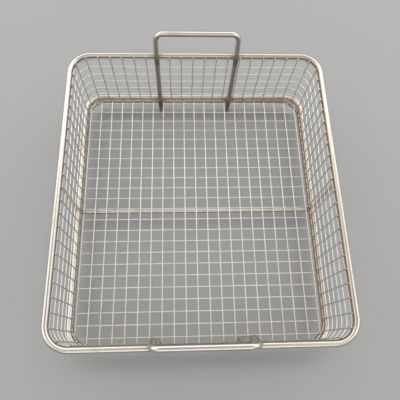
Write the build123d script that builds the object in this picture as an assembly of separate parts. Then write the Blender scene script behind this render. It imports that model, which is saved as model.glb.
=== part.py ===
"""Autoclave basket of welded stainless-steel rod and wire.

An open-topped rectangular basket with rounded corners. The wall is a band of welded
mesh: uprights on the inside, hoops on the outside. A heavy rim rod runs round the top
outside the uprights. At the bottom the floor mesh is held between an upper and a lower
ring. A bar crosses under the floor, and a strut stands on each side between the upper
ring and the rim. Two U-shaped handles stand inside the front and back walls. Their legs
run down past the floor and are the four feet of the basket.

Millimetres, +Z up. The origin is on the surface that the feet stand on, at the middle of
the basket. X runs along the handles, and +Y is the back.
"""
import os

from build123d import *

# Mesh of the floor and the wall
mesh_pitch = 12.7
mesh_wire = 1.2
wire_overrun = 1.5      # how far a wire's end runs past the middle of the rod that holds it
mesh_shift_x = -0.85    # the floor mesh sits a little off the middle of the rings
mesh_shift_y = 1.85

# Wall line: the face that the uprights and the rods share
wall_half_x = 130.5
wall_half_y = 145.4
wall_corner_radius = 18.0

# Rods
rim_rod = 6.0
ring_rod = 5.5
bar_rod = 5.0
strut_rod = 5.0
handle_rod = 5.5
lower_ring_extra_radius = 3.0   # the lower ring's corners are rounder than the upper's
cope_depth = 1.4                # how far a coped end reaches round the rod that it meets

# Heights
foot_height = 17.0      # from the feet's ends to the middle plane of the floor mesh
wall_height = 81.0      # from that plane to the middle of the rim
lowest_hoop_gap = 6.5   # clear gap between the upper ring and the lowest hoop

# Wall mesh
first_upright_x = -3.6  # an upright of the back wall, from which the others are spaced

# Handles
handle_half_width = 42.6
handle_rise = 32.0      # from the middle of the rim to the middle of the bow
handle_lean = 6.4
handle_lean_start = 6.0
handle_corner_radius = 7.5
handle_lean_radius = 20.0
leg_clearance = 0.2     # least gap between a mesh wire and a handle's leg beside it

mesh_z = foot_height
rim_z = mesh_z + wall_height
upper_ring_z = mesh_z + mesh_wire + ring_rod / 2
lower_ring_z = mesh_z - mesh_wire - ring_rod / 2
bar_z = mesh_z - mesh_wire - bar_rod / 2
bow_z = rim_z + handle_rise
leg_y = wall_half_y - handle_rod / 2
leg_inner_y = wall_half_y - handle_rod


def wall_outline(offset, z, extra_radius=0.0):
    """Rounded rectangle at height z, the given distance outside the wall line."""
    radius = wall_corner_radius + offset + extra_radius
    outline = RectangleRounded(2 * (wall_half_x + offset), 2 * (wall_half_y + offset), radius)
    return outline.wire().moved(Location((0, 0, z)))


def rod_along(path, diameter):
    """Round rod swept along a path."""
    return sweep((path ^ 0) * Circle(diameter / 2), path)


def straight_rod(start, end, diameter):
    """Round rod with flat ends between two points."""
    return rod_along(Line(start, end), diameter)


def rim():
    return rod_along(wall_outline(rim_rod / 2, rim_z), rim_rod)


def upper_ring():
    return rod_along(wall_outline(ring_rod / 2, upper_ring_z), ring_rod)


def lower_ring():
    return rod_along(wall_outline(ring_rod / 2, lower_ring_z, lower_ring_extra_radius), ring_rod)


def floor_bar():
    """Bar under the floor mesh, coped to the lower ring at both ends."""
    reach = wall_half_x + cope_depth
    bar = straight_rod((-reach, 0, bar_z), (reach, 0, bar_z), bar_rod)
    return bar - lower_ring()


def side_strut(side):
    """Strut outside the hoops, coped to the upper ring below and the rim above."""
    x = side * (wall_half_x + mesh_wire + strut_rod / 2)
    foot_z = upper_ring_z + ring_rod / 2 - cope_depth
    head_z = rim_z - rim_rod / 2 + cope_depth
    strut = straight_rod((x, 0, foot_z), (x, 0, head_z), strut_rod)
    return strut - upper_ring() - rim()


def handle(side):
    """U of rod: legs inside the wall down to the feet, and a bow that leans out over the rim."""
    left_side = [
        (-handle_half_width, side * leg_y, 0),
        (-handle_half_width, side * leg_y, rim_z + handle_lean_start),
        (-handle_half_width, side * (leg_y + handle_lean), bow_z),
    ]
    right_side = [(-x, y, z) for x, y, z in reversed(left_side)]
    radii = [handle_lean_radius, handle_corner_radius, handle_corner_radius, handle_lean_radius]
    return rod_along(FilletPolyline(*left_side, *right_side, radius=radii), handle_rod)


def hoops():
    """Hoops round the outside of the uprights, a pitch apart, from the lowest up to the rim."""
    lowest_z = upper_ring_z + ring_rod / 2 + lowest_hoop_gap + mesh_wire / 2
    highest_z = rim_z - rim_rod / 2 - mesh_wire / 2
    count = int((highest_z - lowest_z) / mesh_pitch) + 1
    return [
        rod_along(wall_outline(mesh_wire / 2, lowest_z + index * mesh_pitch), mesh_wire)
        for index in range(count)
    ]


def upright_line():
    """Edges of the line that the uprights stand on, by name, from the back wall anticlockwise."""
    half_x = wall_half_x - mesh_wire / 2
    half_y = wall_half_y - mesh_wire / 2
    radius = wall_corner_radius - mesh_wire / 2
    flat_x = half_x - radius
    flat_y = half_y - radius
    return {
        "back_uprights": Line((flat_x, half_y), (-flat_x, half_y)),
        "back_left_corner_uprights": CenterArc((-flat_x, flat_y), radius, 90, 90),
        "left_uprights": Line((-half_x, flat_y), (-half_x, -flat_y)),
        "front_left_corner_uprights": CenterArc((-flat_x, -flat_y), radius, 180, 90),
        "front_uprights": Line((-flat_x, -half_y), (flat_x, -half_y)),
        "front_right_corner_uprights": CenterArc((flat_x, -flat_y), radius, 270, 90),
        "right_uprights": Line((half_x, -flat_y), (half_x, flat_y)),
        "back_right_corner_uprights": CenterArc((flat_x, flat_y), radius, 0, 90),
    }


def meets_leg(x):
    """Whether a wire at this x would run into a handle's leg."""
    return abs(abs(x) - handle_half_width) < (handle_rod + mesh_wire) / 2 + leg_clearance


def has_upright(place):
    """A handle's leg stands in the uprights' layer and takes the place of any upright there."""
    on_end_wall = abs(place.Y) > leg_inner_y
    return not (on_end_wall and meets_leg(place.X))


def upright(place):
    foot_z = upper_ring_z - wire_overrun
    head_z = rim_z + wire_overrun
    return straight_rod((place.X, place.Y, foot_z), (place.X, place.Y, head_z), mesh_wire)


def uprights():
    """Evenly spaced uprights all round the wall, grouped by the side or corner they are on."""
    line = upright_line()
    perimeter = sum(edge.length for edge in line.values())
    spacing = perimeter / round(perimeter / mesh_pitch)
    station = (line["back_uprights"].length / 2 - first_upright_x) % spacing
    groups = {}
    for name, edge in line.items():
        places = []
        while station < edge.length:
            places.append(edge @ (station / edge.length))
            station += spacing
        station -= edge.length
        groups[name] = [upright(place) for place in places if has_upright(place)]
    return groups


def ring_reach(across, half_across, half_along):
    """How far along it a floor wire runs to its end on the rings, from its distance across."""
    radius = wall_corner_radius + ring_rod / 2 + lower_ring_extra_radius
    into_corner = max(0.0, across - (half_across - radius))
    return half_along - radius + (radius ** 2 - into_corner ** 2) ** 0.5 + wire_overrun


def mesh_places(shift, last_place):
    """Places a pitch apart on both sides of the shifted middle, up to the last place."""
    count = int(last_place / mesh_pitch) + 1
    places = [shift + index * mesh_pitch for index in range(-count, count + 1)]
    return [place for place in places if abs(place) <= last_place]


def floor_long_wires():
    """Upper layer of the floor mesh, running front to back and clipped short of the legs."""
    z = mesh_z + mesh_wire / 2
    wires = []
    for x in mesh_places(mesh_shift_x, wall_half_x - mesh_wire / 2):
        reach = ring_reach(abs(x), wall_half_x + ring_rod / 2, wall_half_y + ring_rod / 2)
        if meets_leg(x):
            reach = leg_inner_y - leg_clearance
        wires.append(straight_rod((x, -reach, z), (x, reach, z), mesh_wire))
    return wires


def between_legs(y, reach):
    """Starts and ends of the lengths of a cross wire, which is cut away round any leg it meets."""
    if abs(y) + mesh_wire / 2 + leg_clearance < leg_inner_y:
        return [(-reach, reach)]
    inner = handle_half_width - handle_rod / 2 - leg_clearance
    outer = handle_half_width + handle_rod / 2 + leg_clearance
    return [(-reach, -outer), (-inner, inner), (outer, reach)]


def floor_cross_wires():
    """Lower layer of the floor mesh, running side to side."""
    z = mesh_z - mesh_wire / 2
    wires = []
    for y in mesh_places(mesh_shift_y, wall_half_y - mesh_wire / 2):
        reach = ring_reach(abs(y), wall_half_y + ring_rod / 2, wall_half_x + ring_rod / 2)
        for start, end in between_legs(y, reach):
            wires.append(straight_rod((start, y, z), (end, y, z), mesh_wire))
    return wires


def nodes():
    """Every sub-part by its node name."""
    parts = {
        "rim": rim(),
        "upper_floor_ring": upper_ring(),
        "lower_floor_ring": lower_ring(),
        "floor_bar": floor_bar(),
        "left_strut": side_strut(-1),
        "right_strut": side_strut(1),
        "front_handle": handle(-1),
        "back_handle": handle(1),
        "floor_long_wires": Compound(floor_long_wires()),
        "floor_cross_wires": Compound(floor_cross_wires()),
    }
    for number, hoop in enumerate(hoops(), start=1):
        parts[f"wall_hoop_{number}"] = hoop
    for name, rods in uprights().items():
        parts[name] = Compound(rods)
    return parts


os.makedirs("parts", exist_ok=True)
for name, part in nodes().items():
    export_step(part, f"parts/{name}.step")
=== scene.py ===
"""Autoclave basket: welded stainless-steel wire mesh between bent rods, with two fixed handles.

The sections follow the order in which the basket is put together: the floor mesh, the two
rings that hold it, the bar under it, the wall mesh, the rim, the struts and the handles.
Metres, +Z up. X runs along the handles and +Y is the back.
"""

import bpy
import numpy as np
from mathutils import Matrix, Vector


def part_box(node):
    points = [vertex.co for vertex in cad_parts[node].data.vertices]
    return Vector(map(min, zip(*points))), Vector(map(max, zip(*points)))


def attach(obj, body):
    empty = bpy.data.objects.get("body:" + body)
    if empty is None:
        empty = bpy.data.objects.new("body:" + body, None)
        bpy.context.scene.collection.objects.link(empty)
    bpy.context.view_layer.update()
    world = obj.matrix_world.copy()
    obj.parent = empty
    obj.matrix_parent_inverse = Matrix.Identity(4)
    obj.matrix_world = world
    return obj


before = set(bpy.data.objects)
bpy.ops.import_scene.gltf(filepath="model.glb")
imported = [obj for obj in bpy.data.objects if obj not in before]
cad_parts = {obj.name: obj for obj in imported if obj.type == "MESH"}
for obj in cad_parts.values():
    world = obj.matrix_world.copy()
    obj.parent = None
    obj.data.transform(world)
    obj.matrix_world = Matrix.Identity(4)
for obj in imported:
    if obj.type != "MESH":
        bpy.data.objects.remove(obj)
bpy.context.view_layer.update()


# ---------------------------------------------------------------------------------------
# Floor mesh
# Two layers of thin stainless wire laid half an inch apart: the upper layer runs front to
# back and the lower layer side to side. Every crossing is resistance welded under pressure.

WIRE_RADIUS = 0.0006
WIRE_COLOUR = "#DBD8D3"
WIRE_STAIN = "#C3BBAE"
WELD_COLOUR = "#BBB6AC"
WELD_STRAW = "#9F917B"
CROSSING_PAD = (0.00078, 0.00078, 0.00045)  # a pad's reach along both wires and through them
WIRE_GAP = 0.004                            # points further apart belong to separate wires


def linear(hex_colour):
    """An sRGB hex colour as the linear RGBA that a shader socket takes."""
    srgb = np.array([int(hex_colour[i:i + 2], 16) for i in (1, 3, 5)]) / 255
    rgb = np.where(srgb <= 0.04045, srgb / 12.92, ((srgb + 0.055) / 1.055) ** 2.4)
    return (*rgb.tolist(), 1.0)


def add_node(tree, kind, settings=(), inputs=()):
    """Adds a node. settings are its own options; inputs are values, or sockets to link from."""
    node = tree.nodes.new(kind)
    for name, value in dict(settings).items():
        setattr(node, name, value)
    for name, value in dict(inputs).items():
        if isinstance(value, bpy.types.NodeSocket):
            tree.links.new(value, node.inputs[name])
        else:
            node.inputs[name].default_value = value
    return node


def new_material(name):
    """An empty node material with its output, ready for a shader."""
    material = bpy.data.materials.new(name)
    material.use_nodes = True
    material.node_tree.nodes.clear()
    return material, add_node(material.node_tree, "ShaderNodeOutputMaterial")


# Drawn stainless wire, electropolished: a bright grey mirror, softened by the drawing marks
# that the acid bath rounds off, with a dull film where water has dried on it.
drawn_wire, wire_output = new_material("drawn_stainless_wire")
tree = drawn_wire.node_tree
place = add_node(tree, "ShaderNodeTexCoord").outputs["Object"]
# Water film: patches about 12 mm across
film = add_node(tree, "ShaderNodeTexNoise", inputs={
    "Vector": place, "Scale": 80.0, "Detail": 3.0})
film_edge = add_node(tree, "ShaderNodeMapRange", inputs={
    "Value": film.outputs["Fac"], "From Min": 0.56, "From Max": 0.76,
    "To Min": 0.0, "To Max": 0.8})
# Drawing marks are too fine to show, so they are drawn 0.4 mm across
marks = add_node(tree, "ShaderNodeTexNoise", inputs={
    "Vector": place, "Scale": 2500.0, "Detail": 2.0})
wire_tone = add_node(tree, "ShaderNodeMix", {"data_type": "RGBA"}, {
    "Factor": film_edge.outputs["Result"], "A": linear(WIRE_COLOUR), "B": linear(WIRE_STAIN)})
wire_roughness = add_node(tree, "ShaderNodeMapRange", inputs={
    "Value": film.outputs["Fac"], "From Min": 0.3, "From Max": 0.75,
    "To Min": 0.34, "To Max": 0.42})
wire_bump = add_node(tree, "ShaderNodeBump", inputs={
    "Strength": 0.12, "Distance": 0.00003, "Height": marks.outputs["Fac"]})
wire_shader = add_node(tree, "ShaderNodeBsdfPrincipled", inputs={
    "Base Color": wire_tone.outputs["Result"], "Metallic": 1.0,
    "Roughness": wire_roughness.outputs["Result"], "Normal": wire_bump.outputs["Normal"]})
tree.links.new(wire_shader.outputs["BSDF"], wire_output.inputs["Surface"])

# Fused steel, as it sets in a weld: grey and duller than the wire, with a straw tint from the
# heat in patches of 3 mm.
fused_steel, fused_output = new_material("fused_steel")
tree = fused_steel.node_tree
place = add_node(tree, "ShaderNodeTexCoord").outputs["Object"]
tint = add_node(tree, "ShaderNodeTexNoise", inputs={
    "Vector": place, "Scale": 300.0, "Detail": 2.0})
fused_tone = add_node(tree, "ShaderNodeMix", {"data_type": "RGBA"}, {
    "Factor": tint.outputs["Fac"], "A": linear(WELD_COLOUR), "B": linear(WELD_STRAW)})
fused_bump = add_node(tree, "ShaderNodeBump", inputs={
    "Strength": 0.3, "Distance": 0.00005, "Height": tint.outputs["Fac"]})
fused_shader = add_node(tree, "ShaderNodeBsdfPrincipled", inputs={
    "Base Color": fused_tone.outputs["Result"], "Metallic": 1.0, "Roughness": 0.5,
    "Normal": fused_bump.outputs["Normal"]})
tree.links.new(fused_shader.outputs["BSDF"], fused_output.inputs["Surface"])


def finish_node(name, material):
    """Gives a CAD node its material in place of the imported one."""
    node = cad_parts[name]
    node.data.materials.clear()
    node.data.materials.append(material)


def mesh_piece(name, points, faces, material):
    """A mesh object at the origin from an (n, 3) array of points and a list of faces."""
    mesh = bpy.data.meshes.new(name)
    mesh.from_pydata(points.tolist(), [], faces)
    mesh.materials.append(material)
    mesh.polygons.foreach_set("use_smooth", np.ones(len(mesh.polygons), dtype=bool))
    mesh.update()
    piece = bpy.data.objects.new(name, mesh)
    bpy.context.scene.collection.objects.link(piece)
    return piece


def pads(name, centres, axes, reach, around=8, rings=3, ripple=0.0, ripples=0):
    """Closed pads of fused metal, one at each centre.

    A pad is an ellipsoid: cos(latitude) times the circle of the longitude, scaled by its
    reach along each of its three axes. It has the given number of rings of latitude between
    its poles, with the points around each. ripple lifts it by a sine of the latitude, as the
    torch's steps do along a bead.
    """
    longitude = np.arange(around) * 2 * np.pi / around
    latitude = np.linspace(-np.pi / 2, np.pi / 2, rings + 2)[1:-1]
    lat, lon = np.meshgrid(latitude, longitude, indexing="ij")
    swell = 1 + ripple * np.sin(ripples * lat)
    body = np.stack([np.cos(lat) * np.cos(lon) * swell, np.sin(lat),
                     np.cos(lat) * np.sin(lon) * swell], -1).reshape(-1, 3)
    unit = np.concatenate([[[0, -1, 0]], body, [[0, 1, 0]]]) * np.asarray(reach)
    points = centres[:, None, :] + np.einsum("mk,nkj->nmj", unit, axes)
    row = 1 + np.arange(rings)[:, None] * around
    column = np.arange(around)
    after = (column + 1) % around
    quads = np.stack([row[:-1] + column, row[:-1] + after, row[1:] + after, row[1:] + column], -1)
    top = len(unit) - 1
    last = 1 + (rings - 1) * around
    caps = np.concatenate([np.stack([np.zeros_like(column), 1 + after, 1 + column], -1),
                           np.stack([np.full_like(column, top), last + column, last + after], -1)])
    start = np.arange(len(centres))[:, None, None] * len(unit)
    faces = (quads.reshape(1, -1, 4) + start).reshape(-1, 4).tolist()
    faces += (caps[None] + start).reshape(-1, 3).tolist()
    return mesh_piece(name, points.reshape(-1, 3), faces, fused_steel)


def apart(values, gap):
    """Middles of the groups that sorted values fall into where the steps exceed a gap."""
    values = np.unique(np.round(values, 6))
    groups = np.split(values, np.where(np.diff(values) > gap)[0] + 1)
    return np.array([(group[0] + group[-1]) / 2 for group in groups])


def node_points(name):
    """The points of a CAD node as an (n, 3) array."""
    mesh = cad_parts[name].data
    points = np.empty(len(mesh.vertices) * 3)
    mesh.vertices.foreach_get("co", points)
    return points.reshape(-1, 3)


for name in ("floor_long_wires", "floor_cross_wires"):
    finish_node(name, drawn_wire)

# The crossings lie where the two layers touch
long_x = apart(node_points("floor_long_wires")[:, 0], WIRE_GAP)
cross_y = apart(node_points("floor_cross_wires")[:, 1], WIRE_GAP)
mesh_z = (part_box("floor_long_wires")[0][2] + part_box("floor_cross_wires")[1][2]) / 2
crossing_x, crossing_y = [grid.ravel() for grid in np.meshgrid(long_x, cross_y)]
crossings = np.stack([crossing_x, crossing_y, np.full_like(crossing_x, mesh_z)], -1)
level_axes = np.broadcast_to(np.eye(3), (len(crossings), 3, 3))
floor_welds = pads("floor_mesh_welds", crossings, level_axes, CROSSING_PAD)
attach(floor_welds, "root")


# ---------------------------------------------------------------------------------------
# Floor rings
# Two rods bent to the outline of the wall, one above the floor mesh and one below it. Each
# floor wire's end is welded between them and trimmed flush with the rod.

ROD_COLOUR = "#D0CBC4"
ROD_FILM = "#B7AC9C"
# The next colour is painted shade, for the darker lower side of a rod
ROD_PAINTED_SHADE = "#7C7062"
# The next colour is painted shade, the tan of a rod's inner side
INNER_SIDE_SHADE = "#A8967D"
HEAT_TINT = "#86694A"
WALL_RADIUS = 0.018                # of the wall's corners, round these middles
CORNER_MIDDLE_X = 0.1125
CORNER_MIDDLE_Y = 0.1274
FRAY = 0.0016                      # how ragged the edge of the painted shade on the inner side is
INNER_SHADE_FROM, INNER_SHADE_TO = 0.0012, 0.0042  # outside the wall's line, where the painted shade of the inner side fades
HANDLE_X = 0.0426                  # from the middle to a handle's leg
WALL_Y = 0.1454                    # from the middle to the face of the end walls
RINGS_Z = 0.017                    # the height of the joints at the rings
RIM_Z = 0.098                      # the height of the joints at the rim
HEAT_FROM, HEAT_TO = 0.004, 0.012  # from a joint, where the heat tint fades


def rod_material(name, film_share, painted_shade_share, inner_shade_share=0.0, heat_share=0.3, unshaded_sides=0.0,
                 metallic=1.0):
    """Stainless rod, electropolished: a soft grey mirror with a faint orange peel. Welding
    leaves a brown heat tint round the joints of the handles' legs, by heat_share. A rod's side
    inside the wall's line is painted tan as painted shade, by inner_shade_share, stronger on
    the right than on the left. Dried steam leaves a thin tan film, by film_share. A rod is
    painted darker away from its top as painted shade, by painted_shade_share, and less so on
    the sides that face along X, by unshaded_sides. Pickling paste etches a rod matt, which
    lowers its metallic."""
    material, output = new_material(name)
    tree = material.node_tree
    place = add_node(tree, "ShaderNodeTexCoord").outputs["Object"]
    # Film: patches about 25 mm long, broken up at 3 mm
    film = add_node(tree, "ShaderNodeTexNoise", inputs={
        "Vector": place, "Scale": 40.0, "Detail": 5.0, "Roughness": 0.6})
    film_edge = add_node(tree, "ShaderNodeMapRange", inputs={
        "Value": film.outputs["Fac"], "From Min": 0.62 - film_share * 0.3,
        "From Max": 0.8 - film_share * 0.3, "To Min": 0.0, "To Max": 0.75})
    clean = add_node(tree, "ShaderNodeMix", {"data_type": "RGBA"}, {
        "Factor": film_edge.outputs["Result"], "A": linear(ROD_COLOUR), "B": linear(ROD_FILM)})
    # Painted shade: a rod is darker away from its top, unevenly with the film's noise, and less so
    # on the sides that face along X
    turned = add_node(tree, "ShaderNodeNewGeometry").outputs["Normal"]
    lean = add_node(tree, "ShaderNodeSeparateXYZ", inputs={"Vector": turned})
    sideways = add_node(tree, "ShaderNodeMath", {"operation": "ABSOLUTE"}, {0: lean.outputs["X"]})
    shade_lift = add_node(tree, "ShaderNodeMath", {"operation": "MULTIPLY_ADD"}, {
        0: sideways.outputs["Value"], 1: unshaded_sides, 2: lean.outputs["Z"]})
    ragged = add_node(tree, "ShaderNodeMath", {"operation": "MULTIPLY_ADD"}, {
        0: film.outputs["Fac"], 1: 0.4, 2: shade_lift.outputs["Value"]})
    painted_shade_mask = add_node(tree, "ShaderNodeMapRange", {"interpolation_type": "SMOOTHSTEP"}, {
        "Value": ragged.outputs["Value"], "From Min": 0.5, "From Max": 1.05,
        "To Min": painted_shade_share, "To Max": 0.0})
    tone = add_node(tree, "ShaderNodeMix", {"data_type": "RGBA"}, {
        "Factor": painted_shade_mask.outputs["Result"], "A": clean.outputs["Result"], "B": linear(ROD_PAINTED_SHADE)})
    # Distance from the middle line of the wall's corners, or from the flat that continues it:
    # the wall's radius on a rod's inner side, and a rod's thickness more on its outer side
    quarter = add_node(tree, "ShaderNodeVectorMath", {"operation": "ABSOLUTE"}, {0: place})
    beyond = add_node(tree, "ShaderNodeVectorMath", {"operation": "SUBTRACT"}, {
        0: quarter.outputs["Vector"], 1: (CORNER_MIDDLE_X, CORNER_MIDDLE_Y, 1.0)})
    round_corner = add_node(tree, "ShaderNodeVectorMath", {"operation": "MAXIMUM"}, {
        0: beyond.outputs["Vector"], 1: (0.0, 0.0, 0.0)})
    outward = add_node(tree, "ShaderNodeVectorMath", {"operation": "LENGTH"}, {
        0: round_corner.outputs["Vector"]})
    # Painted shade: a rod's side inside the wall's line is painted tan, fading out across the rod
    # with a ragged edge
    frayed = add_node(tree, "ShaderNodeMath", {"operation": "MULTIPLY_ADD"}, {
        0: film.outputs["Fac"], 1: FRAY, 2: outward.outputs["Value"]})
    welded = add_node(tree, "ShaderNodeMapRange", {"interpolation_type": "SMOOTHSTEP"}, {
        "Value": frayed.outputs["Value"], "From Min": WALL_RADIUS + INNER_SHADE_FROM,
        "From Max": WALL_RADIUS + INNER_SHADE_TO, "To Min": inner_shade_share, "To Max": 0.0})
    # Painted shade: the inner side's tan is stronger on the right than on the left
    axes = add_node(tree, "ShaderNodeSeparateXYZ", inputs={"Vector": place})
    right_side_shade = add_node(tree, "ShaderNodeMapRange", inputs={
        "Value": axes.outputs["X"], "From Min": -0.13, "From Max": 0.1,
        "To Min": 0.2, "To Max": 0.9})
    inner_shading = add_node(tree, "ShaderNodeMath", {"operation": "MULTIPLY"}, {
        0: welded.outputs["Result"], 1: right_side_shade.outputs["Result"]})
    inner_shaded = add_node(tree, "ShaderNodeMix", {"data_type": "RGBA"}, {
        "Factor": inner_shading.outputs["Value"], "A": tone.outputs["Result"], "B": linear(INNER_SIDE_SHADE)})
    # Distance from the nearest joint of a handle's leg, at |x|, |y| on the wall and at the
    # height of the rim or of the rings
    across = add_node(tree, "ShaderNodeMath", {"operation": "ABSOLUTE"}, {0: axes.outputs["X"]})
    along = add_node(tree, "ShaderNodeMath", {"operation": "ABSOLUTE"}, {0: axes.outputs["Y"]})
    side = add_node(tree, "ShaderNodeMath", {"operation": "SUBTRACT"}, {
        0: across.outputs["Value"], 1: HANDLE_X})
    end = add_node(tree, "ShaderNodeMath", {"operation": "SUBTRACT"}, {
        0: along.outputs["Value"], 1: WALL_Y})
    above = add_node(tree, "ShaderNodeMath", {"operation": "SUBTRACT"}, {
        0: axes.outputs["Z"], 1: RINGS_Z})
    rise = add_node(tree, "ShaderNodeMath", {"operation": "PINGPONG"}, {
        0: above.outputs["Value"], 1: (RIM_Z - RINGS_Z) / 2})
    offset = add_node(tree, "ShaderNodeCombineXYZ", inputs={
        "X": side.outputs["Value"], "Y": end.outputs["Value"], "Z": rise.outputs["Value"]})
    distance = add_node(tree, "ShaderNodeVectorMath", {"operation": "LENGTH"}, {
        0: offset.outputs["Vector"]})
    heat = add_node(tree, "ShaderNodeMapRange", {"interpolation_type": "SMOOTHSTEP"}, {
        "Value": distance.outputs["Value"], "From Min": HEAT_FROM, "From Max": HEAT_TO,
        "To Min": heat_share, "To Max": 0.0})
    heated = add_node(tree, "ShaderNodeMix", {"data_type": "RGBA"}, {
        "Factor": heat.outputs["Result"], "A": inner_shaded.outputs["Result"], "B": linear(HEAT_TINT)})
    roughness = add_node(tree, "ShaderNodeMapRange", inputs={
        "Value": film.outputs["Fac"], "From Min": 0.3, "From Max": 0.8,
        "To Min": 0.25, "To Max": 0.4})
    # Orange peel of the electropolish, 1 mm across
    peel = add_node(tree, "ShaderNodeTexNoise", inputs={
        "Vector": place, "Scale": 900.0, "Detail": 3.0})
    bump = add_node(tree, "ShaderNodeBump", inputs={
        "Strength": 0.15, "Distance": 0.00006, "Height": peel.outputs["Fac"]})
    shader = add_node(tree, "ShaderNodeBsdfPrincipled", inputs={
        "Base Color": heated.outputs["Result"], "Metallic": metallic,
        "Roughness": roughness.outputs["Result"], "Normal": bump.outputs["Normal"]})
    tree.links.new(shader.outputs["BSDF"], output.inputs["Surface"])
    return material


# The ring rod carries painted shade: a darker lower side and a tan inner side
ring_rod = rod_material("electropolished_ring_rod", film_share=0.5, painted_shade_share=0.3,
                        inner_shade_share=0.9)
for name in ("upper_floor_ring", "lower_floor_ring"):
    finish_node(name, ring_rod)


# ---------------------------------------------------------------------------------------
# Floor bar
# A straight rod that crosses under the middle of the floor, coped to the lower ring and
# welded all round at both ends.

BAR_BEAD = 0.0007             # radius
BEAD_STEPS = 26               # of the torch, each of which leaves a ripple
BEAD_RIPPLE = 0.14            # of the bead's radius
BEAD_POINTS = 6 * BEAD_STEPS  # along a bead
BEAD_SIDES = 12               # round a bead

# The bar carries painted shade on its lower side
bar_rod = rod_material("electropolished_bar_rod", film_share=0.25, painted_shade_share=0.75)
finish_node("floor_bar", bar_rod)


def level_rod(name):
    """The height of a level rod's middle line and the rod's radius, from its box."""
    low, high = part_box(name)
    return (low[2] + high[2]) / 2, (high[2] - low[2]) / 2


def bead(path, radius, name):
    """A weld bead: a circle carried along a closed path of n points, in a plane square to the
    path. Its radius swells and shrinks by a sine of the place along the path, as the torch
    steps on."""
    n = len(path)
    along = np.roll(path, -1, 0) - np.roll(path, 1, 0)
    along /= np.linalg.norm(along, axis=1)[:, None]
    outward = path - path.mean(0)
    outward -= (outward * along).sum(1)[:, None] * along
    outward /= np.linalg.norm(outward, axis=1)[:, None]
    across = np.cross(along, outward)
    angle = np.arange(BEAD_SIDES) * 2 * np.pi / BEAD_SIDES
    step = np.arange(n) * 2 * np.pi * BEAD_STEPS / n
    width = radius * (1 + BEAD_RIPPLE * np.sin(step))[:, None, None]
    points = path[:, None] + width * (np.cos(angle)[None, :, None] * outward[:, None]
                                      + np.sin(angle)[None, :, None] * across[:, None])
    row = np.arange(n)[:, None] * BEAD_SIDES
    column = np.arange(BEAD_SIDES)
    next_row, after = np.roll(row, -1), np.roll(column, -1)
    faces = np.stack([row + column, row + after, next_row + after, next_row + column], -1)
    return mesh_piece(name, points.reshape(-1, 3), faces.reshape(-1, 4).tolist(), fused_steel)


ring_z, ring_radius = level_rod("lower_floor_ring")
ring_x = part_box("lower_floor_ring")[1][0] - ring_radius
bar_z, bar_radius = level_rod("floor_bar")
turn = np.linspace(0, 2 * np.pi, BEAD_POINTS, endpoint=False)
for side, sign in (("left", -1), ("right", 1)):
    # The seam runs round the bar, on the inner side of the ring
    height = bar_z + bar_radius * np.sin(turn)
    depth = np.sqrt(np.maximum(ring_radius ** 2 - (height - ring_z) ** 2, 0))
    seam = np.stack([sign * (ring_x - depth), bar_radius * np.cos(turn), height], -1)
    bar_weld = bead(seam, BAR_BEAD, f"floor_bar_{side}_weld")
    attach(bar_weld, "root")


# ---------------------------------------------------------------------------------------
# Wall mesh
# A band of the same wire: uprights on the inside and six hoops bent round the outside. The
# crossings are welded, and the uprights' ends are welded to the rim and to the upper ring.

HOOPS = [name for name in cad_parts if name.startswith("wall_hoop_")]
SIDES = {"back_uprights": (0, 1), "front_uprights": (0, -1),
         "left_uprights": (-1, 0), "right_uprights": (1, 0)}
CORNERS = {"back_left_corner_uprights": (-1, 1), "back_right_corner_uprights": (1, 1),
           "front_left_corner_uprights": (-1, -1), "front_right_corner_uprights": (1, -1)}
CORNER_MIDDLE = np.array([CORNER_MIDDLE_X, CORNER_MIDDLE_Y])
CORNER_GAP = 0.2                    # radians, for the same use as WIRE_GAP
END_PAD = (0.0009, 0.0015, 0.0009)  # a pad's reach along the wall, up and outward
END_LIFT = 0.0004                   # the pad at the rim closes over the wire's end

for name in HOOPS + list(SIDES) + list(CORNERS):
    finish_node(name, drawn_wire)

# Each upright's place in plan, and the direction outward there: along a side, its station and
# the side's own line, and in a corner, its bearing from the corner's middle
places, outwards = [], []
for name, (out_x, out_y) in SIDES.items():
    points = node_points(name)
    run = 0 if out_y else 1
    stations = apart(points[:, run], WIRE_GAP)
    spot = np.empty((len(stations), 2))
    spot[:, run] = stations
    spot[:, 1 - run] = points[:, 1 - run].mean()
    places.append(spot)
    outwards.append(np.tile([out_x, out_y], (len(stations), 1)))
for name, signs in CORNERS.items():
    points = node_points(name)[:, :2] - CORNER_MIDDLE * signs
    bearings = apart(np.arctan2(points[:, 1], points[:, 0]), CORNER_GAP)
    outward = np.stack([np.cos(bearings), np.sin(bearings)], -1)
    distance = np.linalg.norm(points, axis=1)
    places.append(CORNER_MIDDLE * signs + outward * (distance.min() + distance.max()) / 2)
    outwards.append(outward)
places = np.concatenate(places)
outwards = np.concatenate(outwards).astype(float)


def wall_axes(outward, count):
    """Axes along the wall, up and outward for each place, repeated for each height."""
    out = np.repeat(np.concatenate([outward, np.zeros((len(outward), 1))], 1), count, 0)
    up = np.broadcast_to([0.0, 0.0, 1.0], out.shape)
    return np.stack([np.cross(up, out), up, out], 1)


def wall_spots(place, outward, heights, reach_out):
    """Every place at every height, moved outward by a reach."""
    flat = np.repeat(place + outward * reach_out, len(heights), 0)
    return np.concatenate([flat, np.tile(heights, len(place))[:, None]], 1)


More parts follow.
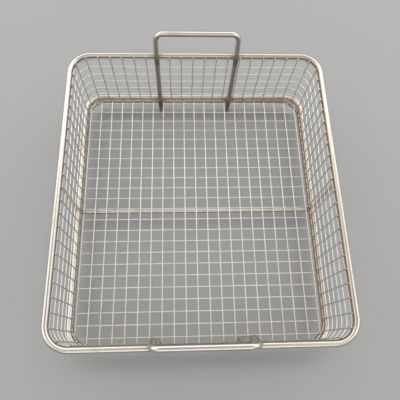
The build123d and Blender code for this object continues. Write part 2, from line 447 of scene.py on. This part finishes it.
hoop_z = np.array([level_rod(name)[0] for name in HOOPS])
wall_welds = pads("wall_mesh_welds", wall_spots(places, outwards, hoop_z, WIRE_RADIUS),
                  wall_axes(outwards, len(hoop_z)), CROSSING_PAD)
end_z = np.array([level_rod("rim")[0] + END_LIFT, level_rod("upper_floor_ring")[0]])
end_welds = pads("upright_end_welds", wall_spots(places, outwards, end_z, WIRE_RADIUS / 2),
                 wall_axes(outwards, len(end_z)), END_PAD, around=10, rings=5)
for piece in (wall_welds, end_welds):
    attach(piece, "root")


# ---------------------------------------------------------------------------------------
# Rim
# The heaviest rod, bent to a rounded rectangle round the outside of the uprights' tops, which
# are welded along its inner side.

# The rim rod carries painted shade: a darker lower side and a tan inner side
rim_rod = rod_material("electropolished_rim_rod", film_share=0.25, painted_shade_share=0.5,
                       inner_shade_share=0.9)
finish_node("rim", rim_rod)


# ---------------------------------------------------------------------------------------
# Struts
# A straight rod at the middle of each side, outside the hoops, etched matt by pickling paste.
# Both ends are coped to the rods that they meet, the upper ring and the rim, and welded all
# round.

STRUT_BEAD = 0.0006  # radius
LEAST_DROP = 0.0004  # from the rod's middle to the seam, where the strut overhangs the rod

# The strut's side towards the wall carries the tan painted shade of a rod's inner side
strut_rod = rod_material("etched_strut_rod", film_share=0.3, painted_shade_share=0.0,
                         inner_shade_share=1.0, metallic=0.3)
for side, sign in (("left", -1), ("right", 1)):
    finish_node(f"{side}_strut", strut_rod)
    strut_low, strut_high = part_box(f"{side}_strut")
    strut_x = (strut_low[0] + strut_high[0]) / 2
    strut_radius = (strut_high[1] - strut_low[1]) / 2
    for rod, end, facing in (("rim", "top", -1), ("upper_floor_ring", "foot", 1)):
        # The seam runs round the strut, on the side of the rod that faces it
        rod_z, rod_radius = level_rod(rod)
        rod_x = sign * (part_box(rod)[1][0] - rod_radius)
        seam_x = strut_x + strut_radius * np.cos(turn)
        drop = np.sqrt(np.maximum(rod_radius ** 2 - (seam_x - rod_x) ** 2, LEAST_DROP ** 2))
        seam = np.stack([seam_x, strut_radius * np.sin(turn), rod_z + facing * drop], -1)
        strut_weld = bead(seam, STRUT_BEAD, f"{side}_strut_{end}_weld")
        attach(strut_weld, "root")


# ---------------------------------------------------------------------------------------
# Handles
# Two rods bent to a U that stand inside the front and back walls. Their legs are welded to
# the rim, to both rings and to each hoop, and their cut ends are the feet of the basket.

JOINT_PAD = (0.0034, 0.0030, 0.0016)  # reach along the wall, up and outward
HOOP_PAD = (0.0016, 0.0010, 0.0006)

# The handle rod carries painted shade on its lower side and on the sides of its legs that face
# along Y
handle_rod = rod_material("electropolished_handle_rod", film_share=0.3, painted_shade_share=0.6,
                          heat_share=0.8, unshaded_sides=0.8)
for name in ("front_handle", "back_handle"):
    finish_node(name, handle_rod)

leg_places = np.array([[x, y] for x in (-HANDLE_X, HANDLE_X) for y in (-WALL_Y, WALL_Y)])
leg_outwards = np.sign(leg_places) * [0, 1]
joint_z = np.array([level_rod(name)[0]
                    for name in ("rim", "upper_floor_ring", "lower_floor_ring")])
handle_welds = pads("handle_welds", wall_spots(leg_places, leg_outwards, joint_z, 0.0),
                    wall_axes(leg_outwards, len(joint_z)), JOINT_PAD,
                    around=32, rings=23, ripple=0.05, ripples=16)
leg_spots = pads("leg_hoop_welds", wall_spots(leg_places, leg_outwards, hoop_z, 0.0),
                 wall_axes(leg_outwards, len(hoop_z)), HOOP_PAD, around=12, rings=5)
for piece in (handle_welds, leg_spots):
    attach(piece, "root")


# ---------------------------------------------------------------------------------------
# Studio
# A plain pale floor, soft lamps above the front, the back and both sides, and an even grey
# room that metal sees as the inside of a soft box.

FLOOR_COLOUR = "#A6A5A3"
FLOOR_HALF = 3.0                              # half its width
ROOM_COLOUR = "#CDCFD2"
SOFT_BOX_COLOUR = "#F6F5F2"
BASKET_MIDDLE = (0.0, 0.0, 0.05)
LENS = 36.87                                  # millimetres, with a sensor 36 mm wide
CAMERA_PLACE = (-0.01765, -0.14917, 0.46213)
CAMERA_TURN = (19.900, -2.258, -1.391)        # degrees

# Matt floor paint, pale and even
floor_paint, floor_output = new_material("pale_studio_floor")
tree = floor_paint.node_tree
floor_shader = add_node(tree, "ShaderNodeBsdfPrincipled", inputs={
    "Base Color": linear(FLOOR_COLOUR), "Roughness": 0.7})
tree.links.new(floor_shader.outputs["BSDF"], floor_output.inputs["Surface"])
floor_corners = np.array([[-1, -1, 0], [1, -1, 0], [1, 1, 0], [-1, 1, 0]]) * FLOOR_HALF
studio_floor = mesh_piece("studio_floor", floor_corners, [[0, 1, 2, 3]], floor_paint)

world = bpy.data.worlds.new("studio_room")
world.use_nodes = True
bpy.context.scene.world = world
room = world.node_tree
room.nodes.clear()
# Diffuse light comes from an even grey room. Metal reflects the inside of a soft box: a
# white ceiling that darkens towards the horizon, and again overhead where the box is open.
even = add_node(room, "ShaderNodeBackground", inputs={
    "Color": linear(ROOM_COLOUR), "Strength": 0.85})
facing = add_node(room, "ShaderNodeTexCoord").outputs["Generated"]
height = add_node(room, "ShaderNodeSeparateXYZ", inputs={"Vector": facing})
ceiling = add_node(room, "ShaderNodeMapRange", inputs={
    "Value": height.outputs["Z"], "From Min": 0.0, "From Max": 0.8,
    "To Min": 0.35, "To Max": 1.0})
opening = add_node(room, "ShaderNodeMapRange", {"interpolation_type": "SMOOTHSTEP"}, {
    "Value": height.outputs["Z"], "From Min": 0.91, "From Max": 0.99,
    "To Min": 1.0, "To Max": 0.3})
lit = add_node(room, "ShaderNodeMath", {"operation": "MULTIPLY"}, {
    0: ceiling.outputs["Result"], 1: opening.outputs["Result"]})
soft_box = add_node(room, "ShaderNodeBackground", inputs={
    "Color": linear(SOFT_BOX_COLOUR), "Strength": lit.outputs["Value"]})
ray = add_node(room, "ShaderNodeLightPath")
mirrored = add_node(room, "ShaderNodeMixShader", inputs={
    "Fac": ray.outputs["Is Glossy Ray"], 1: even.outputs["Background"],
    2: soft_box.outputs["Background"]})
add_node(room, "ShaderNodeOutputWorld", inputs={"Surface": mirrored.outputs["Shader"]})


def soft_lamp(name, place, width, depth, watts):
    """A rectangular area lamp at a place, turned to the middle of the basket: tilted by the
    angle from straight down to the line of aim, and turned by that line's bearing."""
    lamp = bpy.data.lights.new(name, "AREA")
    lamp.shape = "RECTANGLE"
    lamp.size = width
    lamp.size_y = depth
    lamp.energy = watts
    lamp_object = bpy.data.objects.new(name, lamp)
    lamp_object.location = place
    aim = np.subtract(BASKET_MIDDLE, place)
    lamp_object.rotation_euler = (np.arctan2(np.hypot(aim[0], aim[1]), -aim[2]), 0,
                                  np.arctan2(-aim[0], aim[1]))
    bpy.context.scene.collection.objects.link(lamp_object)


soft_lamp("back_lamp", (0.0, 0.9, 1.1), width=1.6, depth=0.6, watts=6.0)
soft_lamp("front_lamp", (0.0, -1.6, 0.7), width=1.6, depth=0.5, watts=5.0)
for name, side in (("left_lamp", -1), ("right_lamp", 1)):
    soft_lamp(name, (side * 1.1, 0.2, 0.8), width=2.0, depth=1.3, watts=8.2)

camera_data = bpy.data.cameras.new("camera")
camera_data.sensor_width = 36.0
camera_data.lens = LENS
camera_data.clip_start = 0.02
camera = bpy.data.objects.new("camera", camera_data)
camera.location = CAMERA_PLACE
camera.rotation_euler = np.radians(CAMERA_TURN)
bpy.context.scene.collection.objects.link(camera)
bpy.context.scene.camera = camera
bpy.context.scene.view_settings.view_transform = "Standard"
